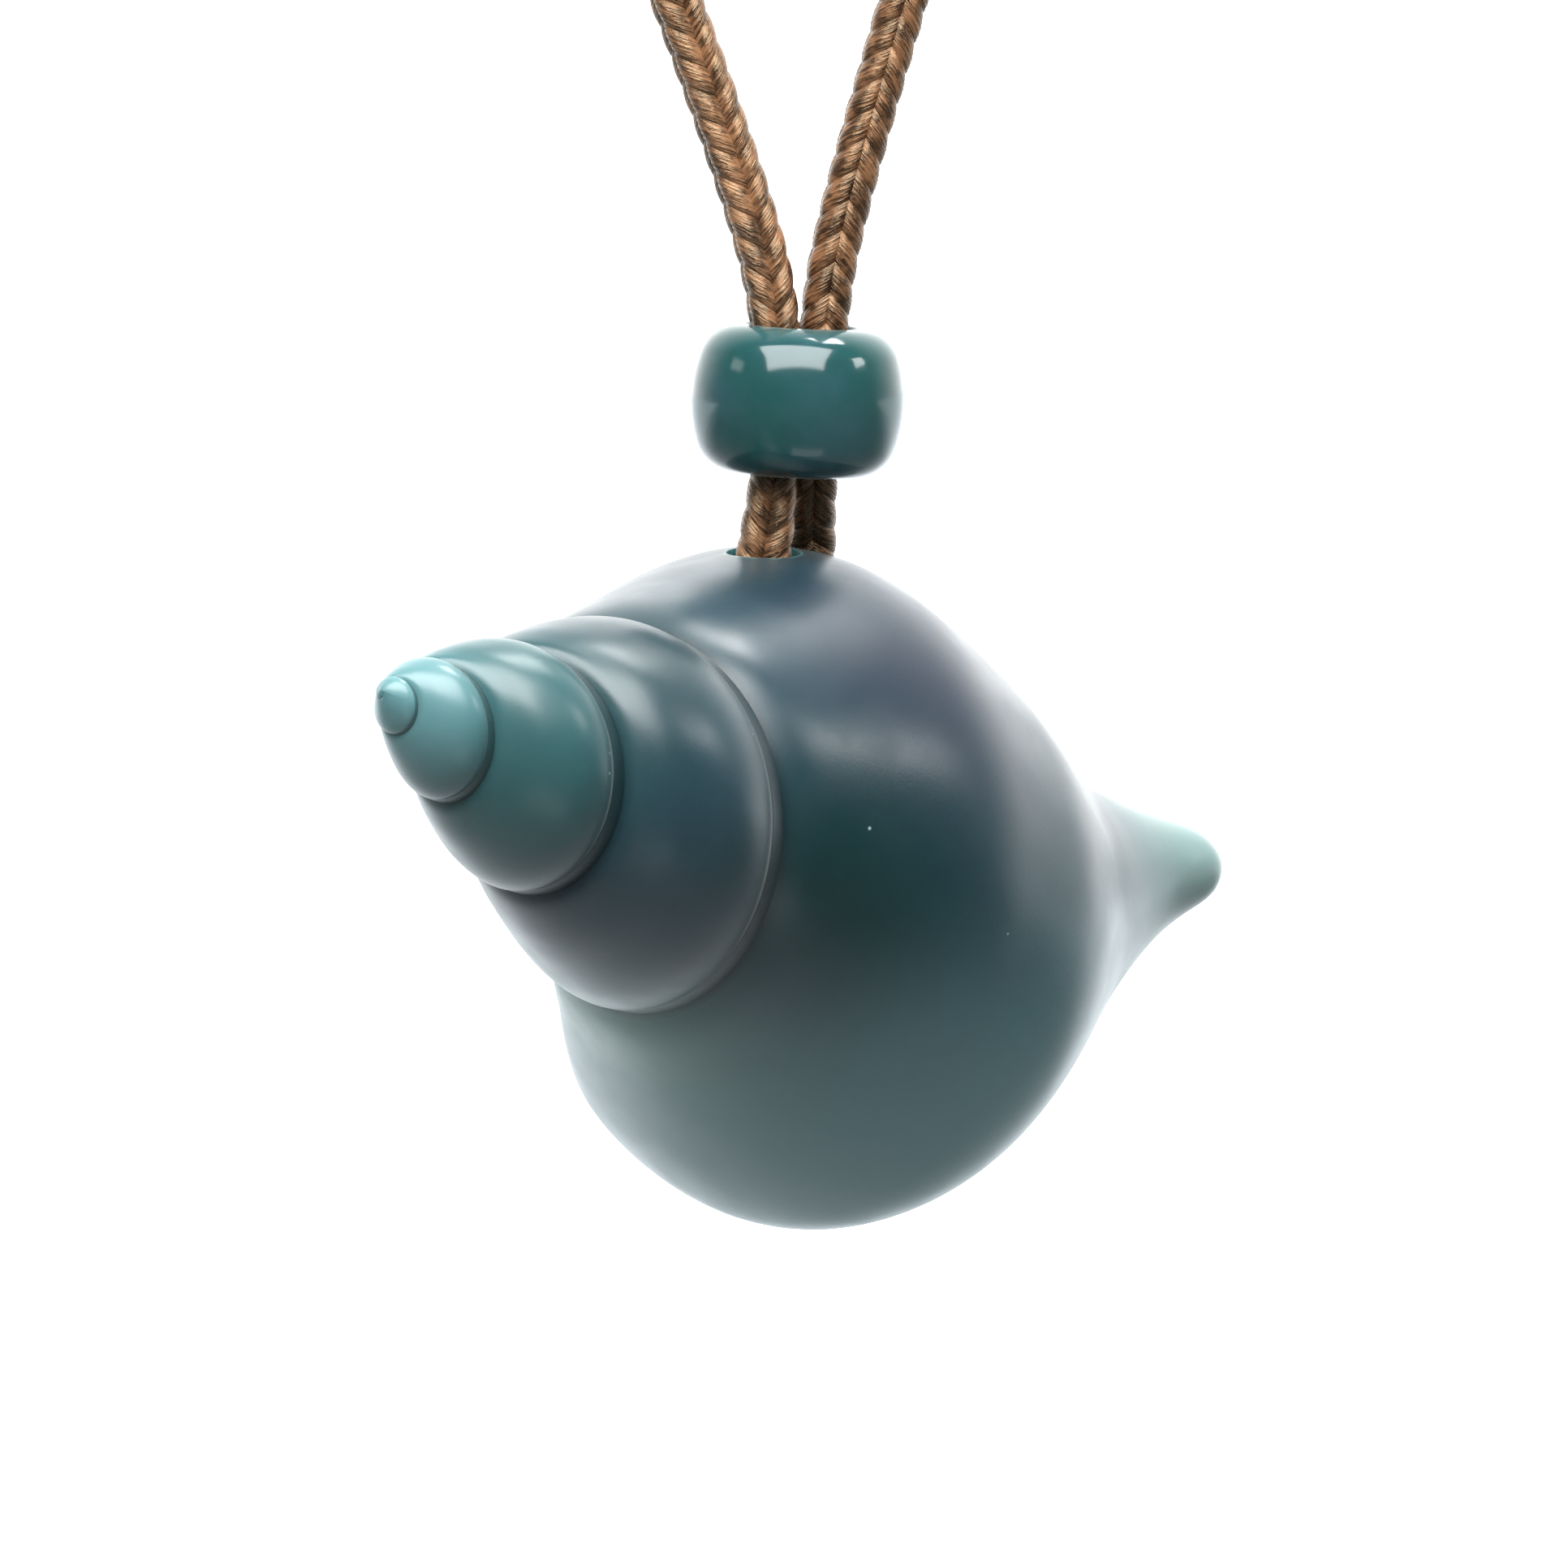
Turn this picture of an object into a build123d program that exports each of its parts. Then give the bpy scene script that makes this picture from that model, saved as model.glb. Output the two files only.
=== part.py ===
from build123d import *

import os
from math import asin, degrees, radians, tan

import numpy as np

# A carved stone sea-snail shell on a braided cord, with a small stone bead above it.
# Millimetres, +Z up. The origin is the underside of the closure at the nape, where the loop rests;
# the pendant hangs below it. +X is to the wearer's left as seen from the front, -Y is the front.

os.makedirs("parts", exist_ok=True)

# Cord
CORD_DIAMETER = 2.0
CORD_ARC_SHARE = 0.45

# Closure at the nape
JOINER_DIAMETER = 4.4
JOINER_LENGTH = 11.0
JOINER_ROUNDING = 0.8

# Bead
BEAD_WALL = 2.155
BEAD_HEIGHT = 6.25
BEAD_SHELF = 0.176
BEAD_EDGE_SHARE = 0.884
BEAD_MOUTH_SHARE = 0.85
BEAD_BORE_GAP = 0.25

# Shell
SHELL_LENGTH = 52.5
SHELL_BODY_RADIUS = 13.9
SHELL_GROWTH = 0.21
TERRACE_WIDTH = 1.0
TERRACE_SHARE = 0.19
SHELL_HANG = 280.0
SHELL_SET_BACK = 2.3
SHELL_TIP_ANGLE = 6.0
TUNNEL_GAP = 0.6
TUNNEL_DROP = 0.3
TUNNEL_OVERRUN = 3.0

# Mesh steps of the carved surface: rows a turn, and points across a whorl
TURN_STEPS = 36
ACROSS_STEPS = 22
TERRACE_START = 20 / 22

# The shell's coil in whole turns: where it starts, where its last whorl runs out, and how much of
# a turn the outer lip takes to run down to the tip of the canal
FIRST_TURN = -1.8
APEX_TURN = -1.0
COIL_TURNS = 5.5
LAST_TURN = FIRST_TURN + round(COIL_TURNS * TURN_STEPS) / TURN_STEPS
LIP_TURNS = 0.35

# The suture, where one whorl meets the next: turn, share of the shell's length, share of its body radius
SUTURE = [
    (-1.0, 0.000, 0.000),
    (0.0, 0.0203, 0.0732),
    (1.0, 0.0746, 0.1836),
    (2.0, 0.1731, 0.3387),
    (3.0, 0.2870, 0.5419),
    (4.0, 0.4942, 0.8728),
]

# A spire whorl from its suture to the narrow terrace above the next one: share along the chord,
# share of the chord that it bulges. It bulges most at the front and hardly at the back.
FRONT_TURN = 0.03
FRONT_BULGE = 1.7
BACK_BULGE = 0.1
WHORL_PROFILE = [
    (0.000, 0.000),
    (0.050, 0.038),
    (0.140, 0.068),
    (0.280, 0.099),
    (0.460, 0.115),
    (0.640, 0.116),
    (0.790, 0.096),
    (0.900, 0.063),
    (0.965, 0.031),
    (1.000, 0.000),
]

# The body whorl and canal: share of the way from the suture to the tip, share of the body radius.
# The body radius is measured at one turn and grows by a share with each turn after it.
BODY_TURN = 3.0
BODY_PROFILE = [
    (0.000, 0.608),
    (0.020, 0.658),
    (0.065, 0.730),
    (0.140, 0.842),
    (0.240, 0.956),
    (0.350, 0.999),
    (0.460, 0.984),
    (0.565, 0.883),
    (0.660, 0.662),
    (0.740, 0.445),
    (0.810, 0.318),
    (0.875, 0.227),
    (0.935, 0.154),
    (0.978, 0.095),
    (1.000, 0.000),
]
BODY_FADE_END = 0.45
PROFILE_STRETCH = 0.7
WHORL_BULGE_WEIGHT = 2.0

# The line that the whorls are centred on: share of the length, then x, y, z as shares of the length,
# and how far a whorl's plane is turned down and away from the front, in degrees
SPINE = [
    (0.000, -0.3066, -0.3735, 0.0713, 10.3, 58.3),
    (0.170, -0.1992, -0.2559, 0.0214, 9.2, 57.3),
    (0.340, -0.0852, -0.0568, -0.0228, 7.8, 54.6),
    (0.510, -0.0129, 0.0993, -0.0609, 5.5, 49.5),
    (0.665, 0.0631, 0.1735, -0.0941, 5.8, 44.0),
    (0.820, 0.2142, 0.2330, -0.0885, -2.3, 35.2),
    (0.930, 0.2986, 0.2816, -0.0687, -10.5, 26.8),
    (1.000, 0.3630, 0.2999, -0.0629, -13.5, 24.1),
]


def hung(*points):
    """Points whose heights are given above the shell's middle, which hangs below the closure."""
    return [(x, y, height - SHELL_HANG) for x, y, height in points]


# The cord's route from the closure down the front strand, through bead and shell, and up the other.
# The points by the nape have their heights from the origin, and the rest theirs above the shell's middle.
FRONT_NAPE = [
    (-JOINER_LENGTH / 2, 0.0, JOINER_DIAMETER / 2),
    (-26.0, 0.0, JOINER_DIAMETER / 2),
    (-50.5, 0.0, -12.5),
    (-64.0, 0.0, -40.5),
    (-64.5, 0.0, -77.0),
]
FRONT_STRAND = hung(
    (-54.0, 0.0, 161.0),
    (-35.0, 0.0, 112.5),
    (-16.2, -0.05, 63.7),
    (-6.8, -0.15, 38.9),
    (-2.15, -0.3, 26.4),
)
FRONT_BEAD_TOP, FRONT_BEAD_FOOT, FRONT_MOUTH, FRONT_FOLD = hung(
    (-0.16, -0.55, 19.6),
    (-0.42, -0.75, 12.3),
    (-1.0, -0.5, 8.8),
    (-1.0, -0.5, 4.3),
)
BACK_FOLD, BACK_MOUTH, BACK_BEAD_FOOT, BACK_BEAD_TOP = hung(
    (1.16, 2.9, 4.3),
    (1.16, 2.9, 9.6),
    (1.18, 0.75, 12.3),
    (1.68, 0.55, 19.7),
)
BACK_STRAND = hung(
    (2.35, 0.35, 23.4),
    (4.3, 0.2, 30.4),
    (8.3, 0.1, 44.1),
    (16.6, 0.05, 71.0),
    (33.5, 0.0, 119.5),
    (52.5, 0.0, 167.5),
)
BACK_NAPE = [
    (63.5, 0.0, -74.0),
    (64.5, 0.0, -37.5),
    (50.5, 0.0, -11.0),
    (26.5, 0.0, JOINER_DIAMETER / 2),
    (JOINER_LENGTH / 2, 0.0, JOINER_DIAMETER / 2),
]
CORD_ROUTE = (
    FRONT_NAPE
    + FRONT_STRAND
    + [FRONT_BEAD_TOP, FRONT_BEAD_FOOT, FRONT_MOUTH, FRONT_FOLD]
    + [BACK_FOLD, BACK_MOUTH, BACK_BEAD_FOOT, BACK_BEAD_TOP]
    + BACK_STRAND
    + BACK_NAPE
)


def spline(knots, values, at):
    """Natural cubic spline through the values at the knots; its second derivatives solve one system."""
    knots = np.asarray(knots, float)
    values = np.asarray(values, float)
    steps = np.diff(knots)
    slopes = (np.diff(values, axis=0).T / steps).T
    system = np.eye(len(knots))
    right = np.zeros(values.shape)
    for row in range(1, len(knots) - 1):
        before, after = steps[row - 1], steps[row]
        system[row, row - 1 : row + 2] = before, 2 * (before + after), after
        right[row] = 6 * (slopes[row] - slopes[row - 1])
    bend = np.linalg.solve(system, right)
    at = np.asarray(at, float)
    cell = np.clip(np.searchsorted(knots, at, side="right") - 1, 0, len(knots) - 2)
    past, width = at - knots[cell], steps[cell]
    if values.ndim > 1:
        past, width = past[..., None], width[..., None]
    left = width - past
    curved = (bend[cell] * left**3 + bend[cell + 1] * past**3) / (6 * width)
    from_left = (values[cell] / width - bend[cell] * width / 6) * left
    from_right = (values[cell + 1] / width - bend[cell + 1] * width / 6) * past
    return curved + from_left + from_right


def smooth_step(share):
    """Rises from 0 to 1 with level ends."""
    share = np.clip(share, 0, 1)
    return share * share * (3 - 2 * share)


def front_share(turn):
    """1 at the front of the coil and 0 at its back, as a raised cosine."""
    return (1 + np.cos(2 * np.pi * (turn - FRONT_TURN))) / 2


def profile_knots(profile, along_weight, out_weight):
    """Knots of a profile, spaced by the square root of its weighted chord lengths."""
    steps = np.diff(np.array(profile) * [along_weight, out_weight], axis=0)
    knots = np.concatenate([[0], np.cumsum(np.hypot(*steps.T) ** 0.5)])
    return knots / knots[-1]


def suture(turn):
    """Distance along the spine and radius of the suture at a turn; its first turn is the apex point."""
    rows = np.array(SUTURE)
    shares = spline(rows[:, 0], rows[:, 1:], np.maximum(turn, APEX_TURN))
    started = turn > FIRST_TURN + 1 + 0.5 / TURN_STEPS
    return shares[..., 0] * SHELL_LENGTH * started, shares[..., 1] * SHELL_BODY_RADIUS * started


def terrace(start, end):
    """Length of the ledge between a whorl's foot and the next suture, less on the small first whorls."""
    room = np.maximum(end - start, 0) * TERRACE_SHARE
    return TERRACE_WIDTH * (1 - np.exp(-room / TERRACE_WIDTH))


def spire_whorl(turn, across):
    """A whorl's profile: the chord from its suture to its foot, bulged by the whorl profile, and then
    the terrace, which runs along the axis to the next suture."""
    start, start_radius = suture(turn)
    end, end_radius = suture(turn + 1)
    foot = end - terrace(start, end)
    knots = profile_knots(WHORL_PROFILE, 1, WHORL_BULGE_WEIGHT)
    share = spline(knots, WHORL_PROFILE, np.minimum(across / TERRACE_START, 1))
    ledge = np.clip((across - TERRACE_START) / (1 - TERRACE_START), 0, 1)
    bulge = share[..., 1] * (BACK_BULGE + (FRONT_BULGE - BACK_BULGE) * front_share(turn))
    length, rise = foot - start, end_radius - start_radius
    along = start + length * share[..., 0] - rise * bulge + (end - foot) * ledge
    radius = start_radius + rise * share[..., 0] + length * bulge
    return along, radius


def body_whorl(turn, across):
    """The last whorl's profile: from its suture over the swollen body to the tip of the canal."""
    start, start_radius = suture(turn)
    knots = profile_knots(BODY_PROFILE, SHELL_LENGTH * PROFILE_STRETCH, SHELL_BODY_RADIUS)
    share = spline(knots, BODY_PROFILE, across)
    full = SHELL_BODY_RADIUS * (1 + SHELL_GROWTH * (turn - BODY_TURN))
    fade = np.clip(1 - across / BODY_FADE_END, 0, 1) ** 2
    along = start + (SHELL_LENGTH - start) * share[..., 0]
    radius = full * share[..., 1] + (start_radius - full * BODY_PROFILE[0][1]) * fade
    return along, radius


def place(along, radius, turn):
    """A point at a radius and turn round the bent spine, then tipped to the way the shell hangs."""
    rows = np.array(SPINE)
    spine = spline(rows[:, 0], rows[:, 1:], along / SHELL_LENGTH)
    down, away = np.radians(spine[..., 3]), np.radians(spine[..., 4])
    axis = np.stack([np.cos(away) * np.cos(down), np.sin(away), -np.cos(away) * np.sin(down)], -1)
    front = np.array([0, -1.0, 0]) + axis[..., 1:2] * axis
    front = front / np.linalg.norm(front, axis=-1, keepdims=True)
    side = np.cross(axis, front)
    angle = 2 * np.pi * turn[..., None]
    ring = radius[..., None] * (np.cos(angle) * front + np.sin(angle) * side)
    x, y, z = np.moveaxis(spine[..., :3] * SHELL_LENGTH + ring, -1, 0)
    tip = radians(SHELL_TIP_ANGLE)
    back = y * np.cos(tip) + z * np.sin(tip) - SHELL_SET_BACK
    up = z * np.cos(tip) - y * np.sin(tip) - SHELL_HANG
    return np.stack([x, back, up], -1)


def shell_surface():
    """Rows of points round the coil: each runs from its suture to the next one, or to the tip."""
    rows = round((LAST_TURN - FIRST_TURN) * TURN_STEPS) + 1
    turns = np.linspace(FIRST_TURN, LAST_TURN, rows)
    turn, across = np.meshgrid(turns, np.linspace(0, 1, ACROSS_STEPS + 1), indexing="ij")
    across = np.where(turn < APEX_TURN, np.floor(across), across)
    spire_along, spire_radius = spire_whorl(turn, across)
    body_along, body_radius = body_whorl(turn, across)
    lip_start = LAST_TURN - LIP_TURNS
    opened = smooth_step((turn + 1 - lip_start) / LIP_TURNS)
    ended = smooth_step((turn - lip_start) / LIP_TURNS)
    along = (1 - opened) * spire_along + opened * body_along
    radius = (1 - opened) * spire_radius + opened * body_radius
    along = (1 - ended) * along + ended * SHELL_LENGTH
    radius = (1 - ended) * radius
    return place(along, radius, turn)


def triangles(points):
    """Two triangles for each cell of a grid, leaving out those with two corners on one point."""
    one_point = 1e-6
    corners = [points[:-1, :-1], points[1:, :-1], points[1:, 1:], points[:-1, 1:]]
    first, second, third, fourth = (corner.reshape(-1, 3) for corner in corners)
    pairs = [np.stack([first, second, third], 1), np.stack([first, third, fourth], 1)]
    faces = np.stack(pairs, 1).reshape(-1, 3, 3)
    sides = np.linalg.norm(faces - np.roll(faces, 1, axis=1), axis=2)
    return faces[sides.min(axis=1) > one_point]


def faceted_solid(faces):
    """A closed solid from triangles."""
    sides = [Face(Wire.make_polygon([tuple(point) for point in face])) for face in faces]
    return Solid(Shell(sides))


def corner_radii(points):
    """Each corner's arc: a share of the shorter run beside it, over the tangent of half the turn."""
    vectors = [Vector(*point) for point in points]
    radii = []
    for before, corner, after in zip(vectors, vectors[1:], vectors[2:]):
        arriving, leaving = corner - before, after - corner
        turn = radians(arriving.get_angle(leaving))
        shorter = min(arriving.length, leaving.length)
        radii.append(CORD_ARC_SHARE * shorter / tan(turn / 2))
    return radii


def tube(points, diameter):
    """A round tube along straight runs joined by tangent arcs."""
    path = FilletPolyline(*points, radius=corner_radii(points))
    section = Plane(origin=path @ 0, z_dir=path % 0) * Circle(diameter / 2)
    return sweep(section, path=path), path


def make_cord():
    """The whole necklace cord, one tube from one face of the closure to the other."""
    cord, path = tube(CORD_ROUTE, CORD_DIAMETER)
    section = np.pi * CORD_DIAMETER**2 / 4
    print("cord length", round(path.length, 1), "volume", round(cord.volume, 1))
    print("section times length", round(section * path.length, 1))
    print("cord radii", [round(radius, 1) for radius in corner_radii(CORD_ROUTE)])
    return cord


def make_shell():
    """The carved shell with the U-shaped tunnel that the cord turns round in."""
    stone = faceted_solid(triangles(shell_surface()))

    def lowered(point, drop):
        return (point[0], point[1], point[2] - drop)

    above = [lowered(FRONT_MOUTH, -TUNNEL_OVERRUN), lowered(FRONT_FOLD, TUNNEL_DROP)]
    beyond = [lowered(BACK_FOLD, TUNNEL_DROP), lowered(BACK_MOUTH, -TUNNEL_OVERRUN)]
    tunnel, _ = tube(above + beyond, CORD_DIAMETER + 2 * TUNNEL_GAP)
    return stone - tunnel


def bead_frame():
    """The middle of the two strands inside the bead, with the lean that they give it."""
    tops = Vector(*FRONT_BEAD_TOP) + Vector(*BACK_BEAD_TOP)
    feet = Vector(*FRONT_BEAD_FOOT) + Vector(*BACK_BEAD_FOOT)
    return Plane(origin=(tops + feet) / 4, x_dir=(1, 0, 0), z_dir=tops - feet)


def bead_bore_radius():
    """The bore holds both strands side by side with a small gap."""
    top_gap = (Vector(*FRONT_BEAD_TOP) - Vector(*BACK_BEAD_TOP)).length
    foot_gap = (Vector(*FRONT_BEAD_FOOT) - Vector(*BACK_BEAD_FOOT)).length
    return max(top_gap, foot_gap) / 2 + CORD_DIAMETER / 2 + BEAD_BORE_GAP


def make_bead():
    """A drilled barrel bead: a bulged wall runs smoothly into well rounded edges round the bore.
    The wall's arc is the one that touches both edge arcs and reaches the bead's full width."""
    bore = bead_bore_radius()
    outer = bore + BEAD_WALL
    half = BEAD_HEIGHT / 2
    shoulder = bore + BEAD_SHELF
    depth = outer - shoulder
    edge = depth * BEAD_EDGE_SHARE
    wall = (depth**2 + (half - edge) ** 2 - edge**2) / (2 * (depth - edge))
    lean = asin((half - edge) / (wall - edge))
    sweep_angle = 90 - degrees(lean)
    with BuildSketch(Plane.XZ) as profile:
        with BuildLine():
            Line((bore, half), (bore, -half))
            Line((bore, -half), (shoulder, -half))
            CenterArc((shoulder, edge - half), edge, -90, sweep_angle)
            CenterArc((outer - wall, 0), wall, -degrees(lean), 2 * degrees(lean))
            CenterArc((shoulder, half - edge), edge, degrees(lean), sweep_angle)
            Line((shoulder, half), (bore, half))
        make_face()
        mouths = profile.vertices().group_by(Axis.X)[0]
        fillet(mouths, BEAD_MOUTH_SHARE * BEAD_SHELF)
    bead = revolve(profile.sketch, axis=Axis.Z)
    return bead_frame() * bead


def make_joiner():
    """A plain barrel at the nape; the cord's two ends meet its flat faces."""
    barrel = Cylinder(JOINER_DIAMETER / 2, JOINER_LENGTH)
    barrel = fillet(barrel.edges().filter_by(GeomType.CIRCLE), JOINER_ROUNDING)
    centre = Plane(origin=(0, 0, JOINER_DIAMETER / 2), z_dir=(1, 0, 0))
    return centre * barrel


PARTS = {
    "shell": make_shell,
    "bead": make_bead,
    "cord": make_cord,
    "cord_joiner": make_joiner,
}

for name, make in PARTS.items():
    piece = make()
    piece.label = name
    export_step(piece, f"parts/{name}.step")
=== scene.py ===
from math import atan, cos, pi, radians, sin

import bpy
import numpy as np
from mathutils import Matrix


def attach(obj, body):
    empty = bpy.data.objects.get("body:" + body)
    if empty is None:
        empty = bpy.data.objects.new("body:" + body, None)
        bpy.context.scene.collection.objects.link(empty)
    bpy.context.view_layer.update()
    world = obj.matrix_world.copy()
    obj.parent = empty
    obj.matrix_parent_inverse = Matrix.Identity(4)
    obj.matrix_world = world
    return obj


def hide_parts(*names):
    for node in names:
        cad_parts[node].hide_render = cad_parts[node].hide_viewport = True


# A carved jade sea-snail shell on a braided cord, with a polished jade bead above it.
# Metres, +Z up; the origin is where the loop rests at the nape, and -Y is the front.

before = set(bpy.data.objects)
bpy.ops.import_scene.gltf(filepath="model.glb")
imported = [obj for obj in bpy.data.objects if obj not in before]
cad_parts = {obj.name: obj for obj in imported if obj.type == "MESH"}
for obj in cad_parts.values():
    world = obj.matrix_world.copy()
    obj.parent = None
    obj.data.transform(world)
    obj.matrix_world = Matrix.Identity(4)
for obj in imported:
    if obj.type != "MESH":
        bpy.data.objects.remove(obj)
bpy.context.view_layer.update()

# Camera: it looks down on the shell's middle by a small angle, from the front
SHELL_MIDDLE = (0.0, -0.0023, -0.280)
CAMERA_DISTANCE = 0.400
CAMERA_TILT = radians(6)
FIELD_WIDTH = 0.065714
SENSOR = 36.0

# Lights that face the shell's middle: name, azimuth, elevation, size, brightness as seen
LIGHT_DISTANCE = 0.75
LIGHTS = [
    ("softbox", -3, 53, (0.92, 0.66), 11.0),
    ("side_right", 78, 27, (0.18, 0.14), 11.0),
    ("side_left", -77, 24, (0.20, 0.09), 2.8),
    ("high_back", 128, 68, (0.24, 0.22), 20.0),
    ("low_fill", 14, -44, (0.42, 0.16), 1.0),
]

# Surround: the way that it darkens, where along it the change starts and ends, and how bright it is
# at those two places
SURROUND_FRONT = (-0.05, -1.0, -0.05)
SURROUND_CHANGE = 0.10, -1.00
SURROUND_BRIGHTNESS = 0.08, 3.2

# Floor: half its width; the middle, reach and share of its soft glow; how far behind the pendant its full
# glow starts and ends; and its own colour and that of its glow
FLOOR_REACH = 30.0
FLOOR_GLOW = (-0.6, 1.7, -1.5)
FLOOR_GLOW_REACH = 3.6
FLOOR_GLOW_SHARE = 0.42
FLOOR_BEHIND = 0.6, 4.0
FLOOR_GREY = (0.2, 0.2, 0.2, 1)
FLOOR_LIGHT = (1.75, 1.90, 2.00)

# Cord
CORD_DIAMETER = 0.002
CORD_ROUTE = [
    (-0.0055, 0.0, 0.0022),
    (-0.0260, 0.0, 0.0022),
    (-0.0505, 0.0, -0.0125),
    (-0.0640, 0.0, -0.0405),
    (-0.0645, 0.0, -0.0770),
    (-0.0540, 0.0, -0.1190),
    (-0.0350, 0.0, -0.1675),
    (-0.0162, -0.00005, -0.2163),
    (-0.0068, -0.00015, -0.2411),
    (-0.00215, -0.0003, -0.2536),
    (-0.00016, -0.00055, -0.2604),
    (-0.00042, -0.00075, -0.2677),
    (-0.0010, -0.0005, -0.2712),
    (-0.0010, -0.0005, -0.2757),
    (0.00116, 0.0029, -0.2757),
    (0.00116, 0.0029, -0.2704),
    (0.00118, 0.00075, -0.2677),
    (0.00168, 0.00055, -0.2603),
    (0.00235, 0.00035, -0.2566),
    (0.0043, 0.0002, -0.2496),
    (0.0083, 0.0001, -0.2359),
    (0.0166, 0.00005, -0.2090),
    (0.0335, 0.0, -0.1605),
    (0.0525, 0.0, -0.1125),
    (0.0635, 0.0, -0.0740),
    (0.0645, 0.0, -0.0375),
    (0.0505, 0.0, -0.0110),
    (0.0265, 0.0, 0.0022),
    (0.0055, 0.0, 0.0022),
]
BEAD_TOPS = CORD_ROUTE[10], CORD_ROUTE[17]
BEAD_FEET = CORD_ROUTE[11], CORD_ROUTE[16]
TUNNEL_MOUTHS = CORD_ROUTE[12], CORD_ROUTE[15]
CORD_SMOOTHNESS = 48

# Braid: yarns wound each way, the length of one whole turn, a yarn's half width and half thickness,
# the radius that the yarns weave about, how far they weave in and out, how far to each side of the
# tunnel's middle the braid is fine, and how far apart two yarns' patterns start
YARNS_EACH_WAY = 4
BRAID_LEAD = 0.0053
YARN_HALF_WIDTH = 0.00048
YARN_HALF_THICKNESS = 0.00026
YARN_RADIUS = 0.00064
YARN_WAVE = 0.00024
FINE_BRAID_REACH = 0.062
YARN_PATTERN_SHIFT = 7.3

# The braid's mesh near the pendant and round the neck: rings in one whole turn, and points round a yarn
FINE_BRAID = 40, 20
PLAIN_BRAID = 18, 8

# The slow twist of the braid: distance from the tunnel's middle, and the turn there in degrees
BRAID_TWIST = [
    (-0.060, 22.0),
    (-0.022, 30.0),
    (-0.006, 45.0),
    (0.006, 50.0),
    (0.060, 50.0),
]

# How much wider the braid loosens on its way from the bead down into the shell
BRAID_SWELL = [
    (-0.0095, 1.00),
    (-0.0075, 1.12),
    (-0.0050, 1.20),
    (-0.0020, 1.00),
    (0.0050, 1.00),
]

# An edge that turns by more than this is left sharp
SHARP_ANGLE = radians(40)

# Closure, with the eye in each end face that the cord's end covers
JOINER_DIAMETER = 0.0044
JOINER_LENGTH = 0.011
JOINER_ROUNDING = 0.0008
JOINER_EYE = 0.0001
JOINER_STEPS = 64
RIM_POINTS = 10

# Bead, and the points on half its wall, an edge and a mouth's rounding
BEAD_WALL = 0.002155
BEAD_HEIGHT = 0.00625
BEAD_SHELF = 0.000176
BEAD_EDGE_SHARE = 0.884
BEAD_MOUTH_SHARE = 0.85
BEAD_BORE_GAP = 0.00025
BEAD_STEPS = 128
WALL_POINTS, EDGE_POINTS, MOUTH_POINTS = 12, 24, 7

# Shell
SHELL_LENGTH = 0.0525
SHELL_BODY_RADIUS = 0.0139
SHELL_GROWTH = 0.21
TERRACE_WIDTH = 0.001
TERRACE_SHARE = 0.19
SHELL_TIP_ANGLE = radians(6)
TUNNEL_GAP = 0.0006
TUNNEL_OVERRUN = 0.002
DRILL_RINGS, DRILL_SIDES = 60, 40

# Steps of the carved surface: rows a turn, points across a whorl, where across it the terrace starts,
# and the points over which the painted shade of the groove there comes in
TURN_STEPS = 120
ACROSS_STEPS = 72
TERRACE_START = 64 / 72
GROOVE_STEPS = 4

# The shell's coil in whole turns
FIRST_TURN = -2 + 3 / TURN_STEPS
APEX_TURN = -1.0
LAST_TURN = 3.7
LIP_TURNS = 0.35
BODY_TURN = 3.0

# The suture, where one whorl meets the next: turn, share of the shell's length, share of its body radius
SUTURE = [
    (-1.0, 0.000, 0.000),
    (0.0, 0.0203, 0.0732),
    (1.0, 0.0746, 0.1836),
    (2.0, 0.1731, 0.3387),
    (3.0, 0.2870, 0.5419),
    (4.0, 0.4942, 0.8728),
]

# A spire whorl from its suture to the narrow terrace above the next one: share along the chord,
# share of the chord that it bulges. It bulges most at the front and hardly at the back.
FRONT_TURN = 0.03
FRONT_BULGE = 1.7
BACK_BULGE = 0.1
WHORL_PROFILE = [
    (0.000, 0.000),
    (0.050, 0.038),
    (0.140, 0.068),
    (0.280, 0.099),
    (0.460, 0.115),
    (0.640, 0.116),
    (0.790, 0.096),
    (0.900, 0.063),
    (0.965, 0.031),
    (1.000, 0.000),
]

# The body whorl and canal: share of the way from the suture to the tip, share of the body radius
BODY_PROFILE = [
    (0.000, 0.608),
    (0.020, 0.658),
    (0.065, 0.730),
    (0.140, 0.842),
    (0.240, 0.956),
    (0.350, 0.999),
    (0.460, 0.984),
    (0.565, 0.883),
    (0.660, 0.662),
    (0.740, 0.445),
    (0.810, 0.318),
    (0.875, 0.227),
    (0.935, 0.154),
    (0.978, 0.095),
    (1.000, 0.000),
]
BODY_FADE_END = 0.45
PROFILE_STRETCH = 0.7
WHORL_BULGE_WEIGHT = 2.0

# Where the stone's colour changes: the green low on the left, partly its own tone and partly painted light
# from below; painted shade on the darker slate high on the right; a painted dark reflection, dark teal,
# beside the last suture; painted light from below, paler between two heights at the foot; and the few
# light specks, each with its reach
GREEN_AND_LIT_FROM_BELOW_SPOT = (-0.0078, -0.0030, -0.2920)
PAINTED_HIGH_SHADE_SPOT = (0.0055, -0.0060, -0.2750)
PAINTED_DARK_REFLECTION_SPOT = (0.0025, -0.0120, -0.2835)
LIT_FROM_BELOW_HEIGHTS = (-0.2830, -0.2990)
SPECKS = [
    (0.0035, -0.0111, -0.2809, 0.00012),
    (-0.0013, -0.0143, -0.2767, 0.00009),
    (-0.0070, -0.0190, -0.2770, 0.00009),
    (-0.0070, -0.0191, -0.2778, 0.00008),
    (0.0093, -0.0067, -0.2858, 0.00007),
]
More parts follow.
